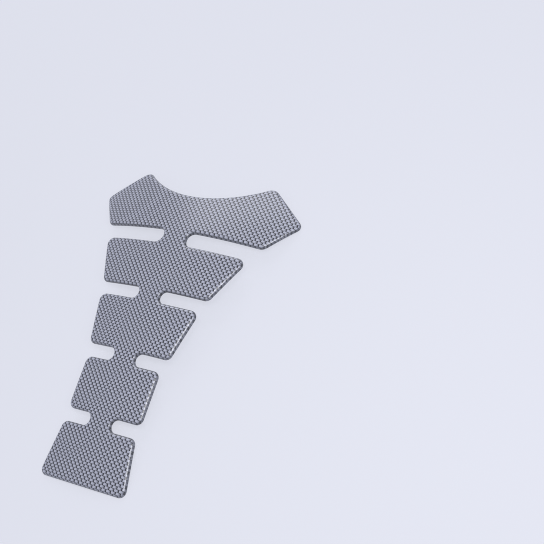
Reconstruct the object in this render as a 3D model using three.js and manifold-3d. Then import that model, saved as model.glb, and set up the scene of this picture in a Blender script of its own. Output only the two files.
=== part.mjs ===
// Motorcycle tank pad: one sheet of woven-look film under clear domed resin, with an adhesive back.
// It keeps the bend it has in use: a spine with three pairs of ribs, a flared tail and a wing with a
// round notch. Millimetres, +Z up, +Y from the tail to the wing.

import * as THREE from 'three';
import { mergeVertices } from 'three/addons/utils/BufferGeometryUtils.js';
import Module from 'manifold-3d';

// Lengths along the flat pad, in order from the tail's end
const tailLength = 35.7;
const lowerRibLength = 34.2;
const middleRibLength = 33.8;
const upperRibLength = 32;
const lowerSlotWidth = 8.2;
const middleSlotWidth = 8.3;
const upperSlotWidth = 8;
const wingSlotWidth = 9.8;
const notchHeight = 26.5; // from the wing's lower edge to the notch, on the centre line
const wingSpanHeight = 22.8; // from the wing's lower edge to its widest line

// Widths across the flat pad, between the corners before they are rounded
const spineWidth = 17.2;
const neckWidth = 18.7; // the spine between the upper ribs and the wing
const tailFootWidth = 69.2;
const tailHeadWidth = 57.2;
const lowerRibWidth = 58.2;
const middleRibFootWidth = 63.8;
const middleRibHeadWidth = 79.6;
const upperRibFootWidth = 84.6;
const upperRibHeadWidth = 114.4;
const wingFootWidth = 125;
const wingSpan = 160.4;
const tipSpacing = 101.4;

// Radii in the flat outline
const notchRadius = 79.8;
const tipRadius = 5.6;
const wingSideRadius = 4;
const wingFootRadius = 5.9;
const cornerRadius = 4.5;

// Section at the edge: a straight foot, and a round shoulder where the resin domes over
const padThickness = 2.4;
const footHeight = 0.5;
const shoulderReach = 2.2;

// The bend: one radius across, and one along the pad that eases between three stations
const crossRadius = 275;
const tailBendRadius = 750;
const middleBendRadius = 850;
const wingBendRadius = 220;
const stationSpacing = 105;

// How finely the round forms are divided
const meshStep = 9;
const cornerSteps = 4;
const shoulderSteps = 3;
const shoulderOverrun = 0.04; // the shoulder's arc ends this far above the face, so the two cross cleanly
const weldDistance = 0.00001;
const centreLineSteps = 24;
const restRounds = 12; // rounds in which the resting tilt settles

// Heights of the straight edges across the pad, from the tail's end
const lowerRibFoot = tailLength + lowerSlotWidth;
const lowerRibHead = lowerRibFoot + lowerRibLength;
const middleRibFoot = lowerRibHead + middleSlotWidth;
const middleRibHead = middleRibFoot + middleRibLength;
const upperRibFoot = middleRibHead + upperSlotWidth;
const upperRibHead = upperRibFoot + upperRibLength;
const wingFoot = upperRibHead + wingSlotWidth;

const point = (x, y) => new THREE.Vector2(x, y);

// Points along a curve after its first one, close enough together for the pad to bend between them
function pointsAlong(curve, least) {
  const steps = Math.max(least, Math.ceil(curve.getLength() / meshStep));
  return curve.getPoints(steps).slice(1);
}

const arcAbout = (centre, radius, from, to, clockwise) =>
  new THREE.EllipseCurve(centre.x, centre.y, radius, radius, from, to, clockwise);

// The arc that rounds the corner between two straight edges
function cornerArc(before, corner, after, radius) {
  const back = before.clone().sub(corner).normalize();
  const on = after.clone().sub(corner).normalize();
  const halfAngle = Math.acos(back.dot(on)) / 2;
  const inward = back.clone().add(on).normalize();
  const centre = corner.clone().addScaledVector(inward, radius / Math.sin(halfAngle));
  const reach = radius / Math.tan(halfAngle);
  const start = corner.clone().addScaledVector(back, reach).sub(centre);
  const end = corner.clone().addScaledVector(on, reach).sub(centre);
  return arcAbout(centre, radius, start.angle(), end.angle(), back.cross(on) > 0);
}

// The two arcs at the wing's tip: the tip's own, tangent to the wing's side and to the notch, and the notch's
function tipArcs(side, tip, notchCentre) {
  const along = tip.clone().sub(side).normalize();
  const inward = point(-along.y, along.x);
  const offset = side.clone().addScaledVector(inward, tipRadius).sub(notchCentre);
  const middle = offset.dot(along);
  const reach = notchRadius + tipRadius;
  const travel = -middle - Math.sqrt(middle * middle - offset.lengthSq() + reach * reach);
  const centre = offset.addScaledVector(along, travel).add(notchCentre);
  const toNotch = notchCentre.clone().sub(centre);
  const fromNotch = toNotch.clone().negate();
  const outward = inward.clone().negate();
  return [
    arcAbout(centre, tipRadius, outward.angle(), toNotch.angle(), false),
    arcAbout(notchCentre, notchRadius, fromNotch.angle(), 1.5 * Math.PI, true),
  ];
}

// Corners of the right half, from the tail's end up to the wing's side, each with its radius
function halfCorners() {
  const corners = [];
  const add = (width, y, radius) => corners.push({ at: point(width / 2, y), radius });
  const addSlot = (widthBelow, from, to, widthAbove, widthBetween = spineWidth) => {
    add(widthBelow, from, cornerRadius);
    add(widthBetween, from, (to - from) / 2);
    add(widthBetween, to, (to - from) / 2);
    add(widthAbove, to, cornerRadius);
  };
  add(tailFootWidth, 0, cornerRadius);
  addSlot(tailHeadWidth, tailLength, lowerRibFoot, lowerRibWidth);
  addSlot(lowerRibWidth, lowerRibHead, middleRibFoot, middleRibFootWidth);
  addSlot(middleRibHeadWidth, middleRibHead, upperRibFoot, upperRibFootWidth);
  addSlot(upperRibHeadWidth, upperRibHead, wingFoot, wingFootWidth, neckWidth);
  corners.at(-1).radius = wingFootRadius;
  add(wingSpan, wingFoot + wingSpanHeight, wingSideRadius);
  return corners;
}

// The flat outline, counter-clockwise: the right half, and its mirror image on the left
function padOutline() {
  const notchCentre = point(0, wingFoot + notchHeight + notchRadius);
  const tipX = tipSpacing / 2;
  const tip = point(tipX, notchCentre.y - Math.sqrt(notchRadius ** 2 - tipX ** 2));
  const corners = halfCorners();
  const arcs = corners.map((corner, i) => {
    const before = i > 0 ? corners[i - 1].at : point(0, 0);
    const after = i < corners.length - 1 ? corners[i + 1].at : tip;
    return cornerArc(before, corner.at, after, corner.radius);
  });
  arcs.push(...tipArcs(corners.at(-1).at, tip, notchCentre));
  const right = [point(0, 0)];
  for (const arc of arcs) {
    right.push(...pointsAlong(new THREE.LineCurve(right.at(-1), arc.getPoint(0)), 1));
    right.push(...pointsAlong(arc, cornerSteps));
  }
  const left = right.slice(1, -1).reverse().map((p) => point(-p.x, p.y));
  return new THREE.Shape([...right, ...left]);
}

// A solid for joining and cutting. Each pair of triangles is kept as one flat face where asked.
function toSolid(wasm, geometry, keepPairs) {
  geometry.deleteAttribute('normal');
  geometry.deleteAttribute('uv');
  const merged = mergeVertices(geometry, weldDistance);
  const triVerts = new Uint32Array(merged.index.array);
  const vertProperties = new Float32Array(merged.attributes.position.array);
  const mesh = { numProp: 3, vertProperties, triVerts };
  if (keepPairs) mesh.faceID = new Uint32Array(triVerts.length / 3).map((_, i) => i >> 1);
  return new wasm.Manifold(new wasm.Mesh(mesh));
}

// The flat pad: a slab of square cells, cut to the outline with its round shoulder
function flatPad(wasm) {
  const columns = 2 * Math.ceil(wingSpan / 2 / meshStep) + 1;
  const rows = Math.ceil((wingFoot + notchHeight + notchRadius) / meshStep) + 1;
  const slab = new THREE.BoxGeometry(columns * meshStep, rows * meshStep, padThickness, columns, rows);
  slab.translate(0, (rows * meshStep - meshStep) / 2, padThickness / 2);
  const shoulderRise = padThickness + shoulderOverrun - footHeight;
  const prism = new THREE.ExtrudeGeometry(padOutline(), {
    depth: footHeight + padThickness,
    bevelThickness: shoulderRise,
    bevelSize: shoulderReach,
    bevelOffset: -shoulderReach,
    bevelSegments: shoulderSteps,
  });
  prism.translate(0, 0, -padThickness);
  return toSolid(wasm, slab, true).intersect(toSolid(wasm, prism, false));
}

// How far the centre line has turned down, and where it is, at a distance along it from its middle station
function turnAt(along) {
  const g = along / stationSpacing;
  const middle = stationSpacing / middleBendRadius;
  const tail = stationSpacing / tailBendRadius;
  const wing = stationSpacing / wingBendRadius;
  return middle * g + (wing - tail) * g ** 2 / 4 + ((wing + tail) / 2 - middle) * g ** 3 / 3;
}

function centreLineAt(along) {
  const step = along / centreLineSteps;
  const place = point(0, 0);
  for (let i = 0; i < centreLineSteps; i += 1) {
    const turn = turnAt(step * (i + 0.5));
    place.x += Math.cos(turn) * step;
    place.y -= Math.sin(turn) * step;
  }
  return place;
}

// Where a point of the flat pad goes, with its height standing square to the bent surface
function bentPlace(x, y, height) {
  const along = y - stationSpacing;
  const turn = turnAt(along);
  const centre = centreLineAt(along);
  const angle = x / crossRadius;
  const radius = crossRadius + height;
  const rise = radius * Math.cos(angle) - crossRadius;
  return new THREE.Vector3(
    radius * Math.sin(angle),
    centre.x + rise * Math.sin(turn),
    centre.y + rise * Math.cos(turn),
  );
}

// The tilt about X at which the wing and the tail both touch the surface below
function restTilt(points) {
  let tilt = 0;
  const lowest = (side) => {
    let low = null;
    for (const p of points) {
      if (Math.sign(p.y) !== side) continue;
      const z = p.y * Math.sin(tilt) + p.z * Math.cos(tilt);
      if (low === null || z < low.z) low = { y: p.y * Math.cos(tilt) - p.z * Math.sin(tilt), z };
    }
    return low;
  };
  for (let i = 0; i < restRounds; i += 1) {
    const tail = lowest(-1);
    const wing = lowest(1);
    tilt -= Math.atan2(wing.z - tail.z, wing.y - tail.y);
  }
  return tilt;
}

function bentPad(wasm) {
  const { vertProperties, triVerts } = flatPad(wasm).getMesh();
  const points = [];
  for (let i = 0; i < vertProperties.length; i += 3) {
    points.push(bentPlace(vertProperties[i], vertProperties[i + 1], vertProperties[i + 2]));
  }
  const tilt = new THREE.Matrix4().makeRotationX(restTilt(points));
  const geometry = new THREE.BufferGeometry().setFromPoints(points.map((p) => p.applyMatrix4(tilt)));
  geometry.setIndex([...triVerts]);
  geometry.computeBoundingBox();
  const { min, max } = geometry.boundingBox;
  geometry.translate(0, -(min.y + max.y) / 2, -min.z);
  geometry.computeVertexNormals();
  return geometry;
}

const wasm = await Module();
wasm.setup();

// Satin clear resin over a silver-grey woven-look film
const resinOverFilm = new THREE.MeshStandardMaterial({ color: 0x8b8d99, roughness: 0.35, metalness: 0.2 });

const tankPad = new THREE.Mesh(bentPad(wasm), resinOverFilm);
tankPad.name = 'tank_pad';

const group = new THREE.Group();
group.add(tankPad);

export default group;
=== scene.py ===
# Motorcycle tank pad: clear domed resin over a silver woven-look film, with the bend that it has in use.
import math

import bmesh
import bpy
from mathutils import Matrix, Vector


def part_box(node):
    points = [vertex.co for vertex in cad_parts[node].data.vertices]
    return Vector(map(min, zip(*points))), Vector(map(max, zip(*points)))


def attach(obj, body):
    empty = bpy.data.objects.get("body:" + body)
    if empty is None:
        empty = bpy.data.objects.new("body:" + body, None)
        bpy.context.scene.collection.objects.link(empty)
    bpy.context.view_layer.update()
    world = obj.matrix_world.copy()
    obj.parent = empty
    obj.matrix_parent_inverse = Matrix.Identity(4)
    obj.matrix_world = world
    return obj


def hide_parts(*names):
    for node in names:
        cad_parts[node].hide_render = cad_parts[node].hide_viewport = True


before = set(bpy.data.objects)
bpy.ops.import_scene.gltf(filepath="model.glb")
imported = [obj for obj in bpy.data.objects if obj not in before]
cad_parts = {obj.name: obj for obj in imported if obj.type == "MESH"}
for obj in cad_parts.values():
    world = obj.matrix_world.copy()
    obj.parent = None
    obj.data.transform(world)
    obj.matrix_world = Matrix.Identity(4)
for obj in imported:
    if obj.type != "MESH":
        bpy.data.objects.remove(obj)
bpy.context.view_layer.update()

mm = 0.001   # sizes below are in millimetres and Blender's are in metres


# Small helpers

def linear(hexColour):
    # sRGB hex, such as "8b8d99", to the linear values that shaders want
    channels = [int(hexColour[i:i + 2], 16) / 255 for i in (0, 2, 4)]
    return [c / 12.92 if c <= 0.04045 else ((c + 0.055) / 1.055) ** 2.4 for c in channels] + [1]


def feed(node, values):
    # a key is an input's name or number, and its value a socket to link or a constant
    for name, value in values.items():
        if isinstance(value, bpy.types.NodeSocket):
            node.id_data.links.new(value, node.inputs[name])
        else:
            node.inputs[name].default_value = value


def addNode(tree, kind, values=None, output=0, **settings):
    # one shader node with its settings and what feeds it; returns one of its outputs
    node = tree.nodes.new("ShaderNode" + kind)
    for name, value in settings.items():
        setattr(node, name, value)
    feed(node, values or {})
    return node.outputs[output]


def newMaterial(name):
    material = bpy.data.materials.new(name)
    material.use_nodes = True
    tree = material.node_tree
    return material, tree, tree.nodes["Principled BSDF"]


# The pad. Millimetres, on the flat pad before it is bent

padSizes = {
    "tailLength": 35.7, "lowerRibLength": 34.2, "middleRibLength": 33.8, "upperRibLength": 32,
    "lowerSlotWidth": 8.2, "middleSlotWidth": 8.3, "upperSlotWidth": 8, "wingSlotWidth": 9.8,
    "notchHeight": 26.5,      # from the wing's lower edge to the notch, on the centre line
    "wingSpanHeight": 22.8,   # from the wing's lower edge to its widest line
    "spineWidth": 17.2,
    "neckWidth": 18.7,        # the spine between the upper ribs and the wing
    "tailFootWidth": 69.2, "tailHeadWidth": 57.2, "lowerRibWidth": 58.2,
    "middleRibFootWidth": 63.8, "middleRibHeadWidth": 79.6,
    "upperRibFootWidth": 84.6, "upperRibHeadWidth": 114.4,
    "wingFootWidth": 125, "wingSpan": 160.4, "tipSpacing": 101.4,
    "notchRadius": 79.8, "tipRadius": 5.6,
    "wingSideRadius": 4, "wingFootRadius": 5.9, "cornerRadius": 4.5,
    "thickness": 2.4,
    "foot": 0.5,              # height of the straight edge under the resin's round shoulder
    "shoulderReach": 2.2,     # how far in from the edge the shoulder starts
    "shoulderSteps": 8,
    "softRim": 0.5,           # a narrow ring inside the shoulder, so that the face's shading stays flat
    "arcStep": 0.7,           # longest step along a round stretch of the outline
    "grid": 4,                # spacing of the lines that let the sheet bend
    # the bend: one radius across, and one that eases along the pad between three stations
    "crossRadius": 275, "tailRadius": 750, "middleRadius": 850, "wingRadius": 220, "stationSpacing": 105,
    "centreLineSteps": 24,
    "restRounds": 12,         # rounds in which the resting tilt settles
    "weld": 0.001,            # vertices closer than this become one
    "cutTolerance": 0.0005,   # a vertex this close to a cutting line counts as on it
    "flatNormal": 0.999,      # a face lies flat where its normal's z is past this, up or down
    "pictureMargin": 0.01,    # free strip around each part of the picture laid on the skin, as a share of its width
}


def outlineCorners(s):
    # the right half's sharp corners from the tail's end up to the wing's side, each with its radius
    corners = []

    def add(width, y, radius):
        corners.append((Vector((width / 2, y)), radius))

    add(s["tailFootWidth"], 0, s["cornerRadius"])
    y = s["tailLength"]
    # the pad's width below each slot, the slot's own, the pad's above it, the spine's beside it, and the
    # length from this slot to the next
    slots = [
        (s["tailHeadWidth"], s["lowerSlotWidth"], s["lowerRibWidth"], s["spineWidth"],
         s["lowerRibLength"]),
        (s["lowerRibWidth"], s["middleSlotWidth"], s["middleRibFootWidth"], s["spineWidth"],
         s["middleRibLength"]),
        (s["middleRibHeadWidth"], s["upperSlotWidth"], s["upperRibFootWidth"], s["spineWidth"],
         s["upperRibLength"]),
        (s["upperRibHeadWidth"], s["wingSlotWidth"], s["wingFootWidth"], s["neckWidth"], 0),
    ]
    for below, gap, above, between, nextLength in slots:
        add(below, y, s["cornerRadius"])
        add(between, y, gap / 2)
        add(between, y + gap, gap / 2)
        add(above, y + gap, s["cornerRadius"] if nextLength else s["wingFootRadius"])
        y += gap + nextLength
    add(s["wingSpan"], y + s["wingSpanHeight"], s["wingSideRadius"])
    return corners, y


def addArc(bm, s, chain, start, centre, turn):
    # a round stretch: one vertex spun about the centre, joined to the end of the chain before it
    steps = max(2, math.ceil(abs(turn) * (start - centre).length / s["arcStep"]))
    first = bm.verts.new((*start, 0))
    if chain:
        bm.edges.new((chain[-1], first))
    spun = bmesh.ops.spin(bm, geom=[first], cent=(*centre, 0), axis=(0, 0, 1), dvec=(0, 0, 0),
                          angle=turn, steps=steps, use_merge=False, use_duplicate=False)
    chain.append(next(g for g in spun["geom_last"] if isinstance(g, bmesh.types.BMVert)))


def cornerArc(before, corner, after, radius):
    # start, centre and turn of the arc that rounds the corner between two straight edges
    back = (before - corner).normalized()
    on = (after - corner).normalized()
    half = back.angle(on) / 2
    centre = corner + (back + on).normalized() * radius / math.sin(half)
    start = corner + back * radius / math.tan(half)
    turn = math.pi - 2 * half
    return start, centre, turn if back.cross(on) < 0 else -turn


def tipArcs(s, side, notchCentre):
    # the wing tip's arc, tangent to the wing's side and to the notch, then the notch's arc to the
    # centre line, and the sharp tip itself
    tipX = s["tipSpacing"] / 2
    tip = Vector((tipX, notchCentre.y - math.sqrt(s["notchRadius"] ** 2 - tipX ** 2)))
    along = (tip - side).normalized()
    inward = Vector((-along.y, along.x))
    offset = side + inward * s["tipRadius"] - notchCentre
    middle = offset.dot(along)
    reach = s["notchRadius"] + s["tipRadius"]
    travel = middle + math.sqrt(middle ** 2 - offset.length_squared + reach ** 2)
    centre = notchCentre + offset - along * travel
    toNotch = (notchCentre - centre).normalized()
    tipTurn = (-inward).angle(toNotch)
    notchTurn = -(-toNotch).angle(Vector((0, -1)))
    return [(centre - inward * s["tipRadius"], centre, tipTurn),
            (notchCentre - toNotch * s["notchRadius"], notchCentre, notchTurn)], tip


def flatOutline(bm, s):
    corners, wingFoot = outlineCorners(s)
    notchCentre = Vector((0, wingFoot + s["notchHeight"] + s["notchRadius"]))
    arcs, tip = tipArcs(s, corners[-1][0], notchCentre)
    places = [Vector((0, 0)), *(at for at, radius in corners), tip]
    chain = [bm.verts.new((0, 0, 0))]
    for i, (corner, radius) in enumerate(corners):
        addArc(bm, s, chain, *cornerArc(places[i], corner, places[i + 2], radius))
    for arc in arcs:
        addArc(bm, s, chain, *arc)
    bmesh.ops.mirror(bm, geom=bm.verts[:] + bm.edges[:], axis="X", merge_dist=s["weld"])
    bmesh.ops.remove_doubles(bm, verts=bm.verts, dist=s["weld"])
    bmesh.ops.contextual_create(bm, geom=bm.edges[:])


def domedSheet(bm, s):
    # a round shoulder as high as it is wide, then pressed down to the pad's thickness
    foot = s["foot"]
    reach = s["shoulderReach"]
    raised = bmesh.ops.extrude_face_region(bm, geom=bm.faces[:])["geom"]
    lifted = [g for g in raised if isinstance(g, bmesh.types.BMVert)]
    bmesh.ops.translate(bm, verts=lifted, vec=(0, 0, foot + reach))
    top = next(g for g in raised if isinstance(g, bmesh.types.BMFace))
    bmesh.ops.recalc_face_normals(bm, faces=bm.faces)
    bmesh.ops.bevel(bm, geom=top.edges[:], offset=reach, offset_type="OFFSET", affect="EDGES",
                    segments=s["shoulderSteps"], profile=0.5, material=-1, clamp_overlap=False)
    domed = [v for v in bm.verts if v.co.z > foot]
    bmesh.ops.scale(bm, verts=domed, space=Matrix.Translation((0, 0, -foot)),
                    vec=(1, 1, (s["thickness"] - foot) / reach))
    flat = [f for f in bm.faces if f.normal.z > s["flatNormal"]]
    bmesh.ops.inset_region(bm, faces=flat, thickness=s["softRim"])


def sliced(bm, s):
    # lines across and along, so that the sheet can bend
    columns = math.ceil(s["wingSpan"] / 2 / s["grid"])
    rows = math.ceil(max(v.co.y for v in bm.verts) / s["grid"])
    cuts = [((i * s["grid"], 0, 0), (1, 0, 0)) for i in range(-columns, columns + 1)]
    cuts += [((0, i * s["grid"], 0), (0, 1, 0)) for i in range(1, rows)]
    for place, direction in cuts:
        bmesh.ops.bisect_plane(bm, geom=bm.verts[:] + bm.edges[:] + bm.faces[:],
                               dist=s["cutTolerance"], plane_co=place, plane_no=direction)


def turnAt(s, along):
    # how far the centre line has turned down, at a distance along it from its middle station: the sum
    # of a bend that follows a parabola through the three stations
    spacing = s["stationSpacing"]
    g = along / spacing
    middle = spacing / s["middleRadius"]
    tail = spacing / s["tailRadius"]
    wing = spacing / s["wingRadius"]
    return middle * g + (wing - tail) * g ** 2 / 4 + ((wing + tail) / 2 - middle) * g ** 3 / 3


def centreLineAt(s, along):
    step = along / s["centreLineSteps"]
    turns = [turnAt(s, step * (i + 0.5)) for i in range(s["centreLineSteps"])]
    return step * sum(map(math.cos, turns)), -step * sum(map(math.sin, turns))


def bentPlace(s, flat):
    # where a point of the flat pad goes, its height standing square to the bent surface
    along = flat.y - s["stationSpacing"]
    turn = turnAt(s, along)
    y, z = centreLineAt(s, along)
    radius = s["crossRadius"] + flat.z
    angle = flat.x / s["crossRadius"]
    rise = radius * math.cos(angle) - s["crossRadius"]
    return Vector((radius * math.sin(angle), y + rise * math.sin(turn), z + rise * math.cos(turn)))


def restTilt(s, points):
    # the tilt about X at which the wing and the tail both touch what the pad rests on
    tilt = 0
    for i in range(s["restRounds"]):
        cos, sin = math.cos(tilt), math.sin(tilt)
        turned = [(p.y * cos - p.z * sin, p.y * sin + p.z * cos) for p in points]
        tail = min((q for q in turned if q[0] < 0), key=lambda q: q[1])
        wing = min((q for q in turned if q[0] > 0), key=lambda q: q[1])
        tilt -= math.atan2(wing[1] - tail[1], wing[0] - tail[0])
    return tilt


def bent(bm, s):
    # bends the sheet, tilts it to rest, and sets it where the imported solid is
    for v in bm.verts:
        v.co = bentPlace(s, v.co)
    tilt = restTilt(s, [v.co.copy() for v in bm.verts])
    bmesh.ops.rotate(bm, verts=bm.verts, cent=(0, 0, 0), matrix=Matrix.Rotation(tilt, 3, "X"))
    bmesh.ops.scale(bm, verts=bm.verts, vec=(mm, mm, mm))
    low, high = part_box("tank_pad")
    ys = [v.co.y for v in bm.verts]
    shift = Vector((0, (low.y + high.y - min(ys) - max(ys)) / 2, low.z - min(v.co.z for v in bm.verts)))
    bmesh.ops.translate(bm, verts=bm.verts, vec=shift)


def spreadForPicture(bm, s):
    # the skin laid out flat for a picture: the top with its edge folded out, and beside it the back
    layout = bm.loops.layers.uv.new("OFBake")
    margin = s["pictureMargin"]
    fold = s["thickness"]
    reachAcross = s["wingSpan"] / 2 + fold
    topScale = (1 - 2 * margin) / (max(v.co.y for v in bm.verts) + 2 * fold)
    backStart = 2 * reachAcross * topScale + 2 * margin
    backScale = (1 - margin - backStart) / (2 * reachAcross)
    for face in bm.faces:
        start, scale = (backStart, backScale) if face.material_index else (margin, topScale)
        for loop in face.loops:
            at = loop.vert.co.xy
            if not face.material_index:
                at += loop.vert.normal.xy.normalized() * (fold - loop.vert.co.z)
            loop[layout].uv = (start + (at.x + reachAcross) * scale, margin + (at.y + fold) * scale)


def makePad():
    s = padSizes
    bm = bmesh.new()
    flatOutline(bm, s)
    domedSheet(bm, s)
    sliced(bm, s)
    bmesh.ops.remove_doubles(bm, verts=bm.verts, dist=s["weld"])
    bmesh.ops.recalc_face_normals(bm, faces=bm.faces)
    flatPlace = bm.verts.layers.float_vector.new("flatPlace")
    for v in bm.verts:
        v[flatPlace] = v.co
    for face in bm.faces:
        face.material_index = 1 if face.normal.z < -s["flatNormal"] else 0
        face.smooth = True
    for edge in bm.edges:
        edge.smooth = len({f.material_index for f in edge.link_faces}) == 1   # the back's rim is sharp
    spreadForPicture(bm, s)
    bent(bm, s)
    print("pad:", len(bm.faces), "faces,", sum(not e.is_manifold for e in bm.edges), "open edges")
    mesh = bpy.data.meshes.new("tankPad")
    bm.to_mesh(mesh)
    bm.free()
    pad = bpy.data.objects.new("tankPad", mesh)
    bpy.context.collection.objects.link(pad)
    return pad


# Finishes

filmSizes = {
    "towAcross": 1.742,       # millimetres from tow to tow across the pad
    "towAlong": 1.694,        # and along it, where the film is laid a little tighter
    "startAcross": -9.974,    # where the weave starts, in tows from the centre line
    "startAlong": 61.692,     # and from the tail's end
    # one gap and its brick, as shares of the two tows that they fill
    "gapHex": "131315", "gapEnd": 0.146,
    "brickHex": "a2a4af", "brickStart": 0.206,
    "fadeStart": 0.582,       # from here a brick darkens towards its end
    "fadeHex": "63656f", "fadeEnd": 0.95,
    "riseFrom": 0.2, "riseTo": 0.4,             # the tow rises out of the gap
    "joinEnd": 0.62, "joinFaded": 0.7,          # the line that joins two gaps fades, and is gone
    # across one row, as shares of its width from its middle
    "rowLineFrom": 0.31, "rowLineTo": 0.5,      # the thin line between two rows
    "joinLineFrom": 0.35, "joinLineTo": 0.45,   # the darker one from a gap to the gap in the next row
    "sideFrom": 0.5, "sideTo": 0.3,             # the tow rises from its side
    "rowLine": 0.45, "joinLine": 0.95,          # how dark the two lines are
    "fibre": 0.16,            # millimetres between fibres, about four times the real ones so that they show
    "fibreStretch": 0.12,     # a fibre's shade runs on for about eight times its width
    "fibreDark": 0.82, "fibreLight": 1.14,
    "noiseLow": 0.25, "noiseHigh": 0.75,        # the noise hardly leaves this span
    "relief": 0.04,           # millimetres that a tow stands over the gap beside it
    "gapRoughness": 0.55, "towRoughness": 0.4,
    # the round edge: the heights over the back between which each colour comes in
    "shoulderHex": "8c8f99",  # painted reflection: a haze of light on the resin's round edge, which lowers the weave's contrast
    "shoulderFrom": 2.35, "shoulderTo": 1.9, "shoulderHazeShare": 0.25,
    "footEdgeAndShadeHex": "17181c",      # the dark cut edge of film and adhesive, which the steep resin shows, darkened further by painted shade along the edge
    "footFrom": 2.1, "footTo": 1.6, "footEdgeAndShadeShare": 0.52,
}


def wovenFilmUnderResin():
    # Polyurethane resin poured over a printed woven-look film: rows of silver bricks that fade along
    # their length, with dark gaps, under a smooth satin gloss
    s = filmSizes
    material, tree, shader = newMaterial("satinResinOverWovenFilm")
    flatPlace = addNode(tree, "Attribute", output="Vector", attribute_name="flatPlace")
    axes = addNode(tree, "SeparateXYZ", {0: flatPlace}).node.outputs
    across = addNode(tree, "Math", {0: axes["X"], 1: 1 / s["towAcross"], 2: s["startAcross"]},
                     operation="MULTIPLY_ADD")
    along = addNode(tree, "Math", {0: axes["Y"], 1: -1 / s["towAlong"], 2: s["startAlong"]},
                    operation="MULTIPLY_ADD")
    row = addNode(tree, "Math", {0: along}, operation="FLOOR")
    inRow = addNode(tree, "Math", {0: along}, operation="FRACT")       # 0 at a row's upper edge
    shifted = addNode(tree, "Math", {0: across, 1: row}, operation="ADD")
    pair = addNode(tree, "Math", {0: shifted, 1: 0.5}, operation="MULTIPLY")
    inBrick = addNode(tree, "Math", {0: pair}, operation="FRACT")      # a gap and a brick fill two tows
    bricks = addNode(tree, "ValToRGB", {0: inBrick})
    elements = bricks.node.color_ramp.elements
    stops = [(0, s["gapHex"]), (s["gapEnd"], s["gapHex"]), (s["brickStart"], s["brickHex"]),
             (s["fadeStart"], s["brickHex"]), (s["fadeEnd"], s["fadeHex"]), (1, s["gapHex"])]
    while len(elements) < len(stops):
        elements.new(0.5)
    for element, (at, colour) in zip(elements, stops):
        element.position = at
        element.color = linear(colour)

    # between rows: a thin line all along, and a darker one that joins each gap to the next row's. On
    # both sides of it the distance is counted from the upper row's gap
    centred = addNode(tree, "Math", {0: inRow, 1: 0.5}, operation="SUBTRACT")
    fromMiddle = addNode(tree, "Math", {0: centred}, operation="ABSOLUTE")
    rowEdge = addNode(tree, "MapRange", {0: fromMiddle, 1: s["rowLineFrom"], 2: s["rowLineTo"],
                                         4: s["rowLine"]}, interpolation_type="SMOOTHSTEP")
    upperHalf = addNode(tree, "Math", {0: inRow, 1: 0.5}, operation="LESS_THAN")
    halfTurned = addNode(tree, "Math", {0: upperHalf, 1: 0.5, 2: inBrick}, operation="MULTIPLY_ADD")
    fromGap = addNode(tree, "Math", {0: halfTurned}, operation="FRACT")
    joinSpan = addNode(tree, "MapRange", {0: fromGap, 1: s["joinFaded"], 2: s["joinEnd"]},
                       interpolation_type="SMOOTHSTEP")
    joinEdge = addNode(tree, "MapRange", {0: fromMiddle, 1: s["joinLineFrom"], 2: s["joinLineTo"],
                                          4: s["joinLine"]}, interpolation_type="SMOOTHSTEP")
    join = addNode(tree, "Math", {0: joinSpan, 1: joinEdge}, operation="MULTIPLY")
    darker = addNode(tree, "Math", {0: join, 1: rowEdge}, operation="MAXIMUM")
    woven = addNode(tree, "Mix", {0: darker, 6: bricks, 7: linear(s["gapHex"])}, output=2,
                    data_type="RGBA")

    # fibres run along each brick
    stretched = addNode(tree, "Mapping", {
        "Vector": flatPlace, "Scale": (s["fibreStretch"] / s["fibre"], 1 / s["fibre"], 0)})
    fibres = addNode(tree, "TexNoise", {"Vector": stretched, "Scale": 1, "Detail": 2})
    shade = addNode(tree, "MapRange", {0: fibres, 1: s["noiseLow"], 2: s["noiseHigh"],
                                       3: s["fibreDark"], 4: s["fibreLight"]})
    woven = addNode(tree, "VectorMath", {0: woven, 1: shade}, operation="MULTIPLY")

    # the round edge: a painted haze of reflected light over the weave, then the dark foot, which is the
    # film's cut edge with painted shade along it
    paintedHaze = addNode(tree, "MapRange", {0: axes["Z"], 1: s["shoulderFrom"], 2: s["shoulderTo"],
                                              4: s["shoulderHazeShare"]}, interpolation_type="SMOOTHSTEP")
    # the dark foot: the film's cut edge, widened and darkened with painted shade
    cutEdgeAndShade = addNode(tree, "MapRange", {0: axes["Z"], 1: s["footFrom"], 2: s["footTo"],
                                          4: s["footEdgeAndShadeShare"]}, interpolation_type="SMOOTHSTEP")
    edged = addNode(tree, "Mix", {0: paintedHaze, 6: woven, 7: linear(s["shoulderHex"])}, output=2,
                    data_type="RGBA")
    edged = addNode(tree, "Mix", {0: cutEdgeAndShade, 6: edged, 7: linear(s["footEdgeAndShadeHex"])}, output=2,
                    data_type="RGBA")

    # tows stand over the gaps, where the print is also duller
    pastGap = addNode(tree, "MapRange", {0: inBrick, 1: s["riseFrom"], 2: s["riseTo"]},
                      interpolation_type="SMOOTHSTEP")
    inTow = addNode(tree, "MapRange", {0: fromMiddle, 1: s["sideFrom"], 2: s["sideTo"]},
                    interpolation_type="SMOOTHSTEP")
    lift = addNode(tree, "Math", {0: pastGap, 1: inTow}, operation="MULTIPLY")
    bump = addNode(tree, "Bump", {"Height": lift, "Distance": s["relief"] * mm, "Strength": 1})
    roughness = addNode(tree, "MapRange", {0: lift, 3: s["gapRoughness"], 4: s["towRoughness"]})
    feed(shader, {
        "Base Color": edged, "Normal": bump, "Roughness": roughness,
        "Specular IOR Level": 0.1,   # the film is wetted by the resin, so it hardly shines by itself
        "Coat Weight": 1, "Coat Roughness": 0.24, "Coat IOR": 1.5,
    })
    return material


adhesiveSizes = {
    "mottlesPerMetre": 180,   # blotches between 5 and 6 mm wide
    "mottleDetail": 3,
    "darkHex": "d3d4d7", "paleHex": "dfe0e3",
    "darkRoughness": 0.7, "paleRoughness": 0.9,
}


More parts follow.
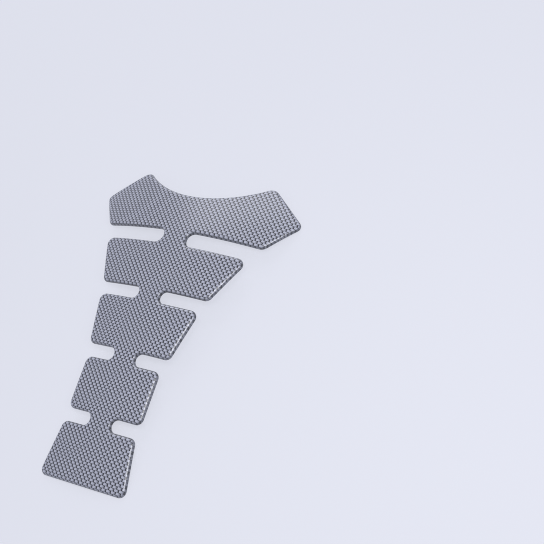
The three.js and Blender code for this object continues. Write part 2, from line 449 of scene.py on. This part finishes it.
def adhesiveBack():
    # Acrylic adhesive on its pale carrier: matt, with a faint mottle where it was spread
    s = adhesiveSizes
    material, tree, shader = newMaterial("paleAcrylicAdhesive")
    place = addNode(tree, "TexCoord", output="Object")
    mottle = addNode(tree, "TexNoise", {"Vector": place, "Scale": s["mottlesPerMetre"],
                                        "Detail": s["mottleDetail"]})
    colour = addNode(tree, "Mix", {0: mottle, 6: linear(s["darkHex"]), 7: linear(s["paleHex"])}, output=2,
                     data_type="RGBA")
    roughness = addNode(tree, "MapRange", {0: mottle, 3: s["darkRoughness"], 4: s["paleRoughness"]})
    feed(shader, {"Base Color": colour, "Roughness": roughness})
    return material


# Studio. Millimetres, from the pad's origin

studio = {
    "cameraPlace": (521.222, -195.799, 622.274), "cameraTurn": (30.5655, 26.5651, 24.0087),
    "focalPixels": 1326.6, "framePixels": 544, "sensorWidth": 36,
    "nearest": 10, "farthest": 20000,   # what the camera shows
    "floorSize": 6000, "floorHex": "dee0ea",
    "floorGlow": 0.82,   # the share of the floor's colour that its shadows don't darken
    "worldHex": "e1e4f4",
    "ambient": 0.81,     # strength of the world's light on the pad
    # the strip is what gleams along the right-hand shoulders
    "lamps": [{"name": "strip", "place": (310, -45, 425), "size": (100, 380), "power": 1.5},
              {"name": "window", "place": (-330, 780, 530), "size": (700, 700), "power": 3}],
}


def seenPlainly(tree):
    # 1 where the camera sees this floor or world, also in gloss or through glass
    rays = addNode(tree, "LightPath").node.outputs
    seen = addNode(tree, "Math", {0: rays["Is Camera Ray"], 1: rays["Is Glossy Ray"]}, operation="ADD")
    return addNode(tree, "Math", {0: seen, 1: rays["Is Transmission Ray"]}, operation="ADD", use_clamp=True)


def addCamera(s):
    data = bpy.data.cameras.new("camera")
    data.sensor_width = s["sensorWidth"]
    data.lens = s["focalPixels"] / s["framePixels"] * s["sensorWidth"]
    data.clip_start = s["nearest"] * mm
    data.clip_end = s["farthest"] * mm
    camera = bpy.data.objects.new("camera", data)
    camera.location = Vector(s["cameraPlace"]) * mm
    camera.rotation_euler = [math.radians(a) for a in s["cameraTurn"]]
    bpy.context.collection.objects.link(camera)
    bpy.context.scene.camera = camera


def addFloor(s):
    # Seamless studio paper: matt and pale
    bm = bmesh.new()
    bmesh.ops.create_grid(bm, x_segments=1, y_segments=1, size=s["floorSize"] / 2 * mm)
    mesh = bpy.data.meshes.new("floor")
    bm.to_mesh(mesh)
    bm.free()
    floor = bpy.data.objects.new("floor", mesh)
    bpy.context.collection.objects.link(floor)
    material, tree, shader = newMaterial("paleStudioPaper")
    feed(shader, {"Base Color": linear(s["floorHex"]), "Roughness": 0.9, "Specular IOR Level": 0.1})
    glow = addNode(tree, "Emission", {"Color": linear(s["floorHex"])})
    share = addNode(tree, "Math", {0: seenPlainly(tree), 1: s["floorGlow"]}, operation="MULTIPLY")
    mixed = addNode(tree, "MixShader", {0: share, 1: shader.outputs[0], 2: glow})
    feed(tree.nodes["Material Output"], {0: mixed})
    mesh.materials.append(material)


def addLight(s):
    world = bpy.data.worlds.new("studioWorld")
    world.use_nodes = True
    tree = world.node_tree
    strength = addNode(tree, "MapRange", {0: seenPlainly(tree), 3: s["ambient"], 4: 1})
    feed(tree.nodes["Background"], {"Color": linear(s["worldHex"]), "Strength": strength})
    bpy.context.scene.world = world
    for lamp in s["lamps"]:
        data = bpy.data.lights.new(lamp["name"], "AREA")
        data.shape = "RECTANGLE"
        data.size, data.size_y = (side * mm for side in lamp["size"])
        data.energy = lamp["power"]
        light = bpy.data.objects.new(lamp["name"], data)
        light.location = Vector(lamp["place"]) * mm
        light.rotation_euler = light.location.to_track_quat("Z", "Y").to_euler()   # facing the origin
        bpy.context.collection.objects.link(light)


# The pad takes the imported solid's place, and the studio is set up around it

pad = makePad()
pad.data.materials.append(wovenFilmUnderResin())
pad.data.materials.append(adhesiveBack())
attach(pad, "root")
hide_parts("tank_pad")
print("finishes made")
addCamera(studio)
addFloor(studio)
addLight(studio)
bpy.context.scene.view_settings.view_transform = "Standard"
# a tow is two or three pixels wide, so the picture is kept crisp
bpy.context.scene.cycles.filter_width = 1
bpy.context.scene.cycles.denoising_prefilter = "NONE"
print("studio made")
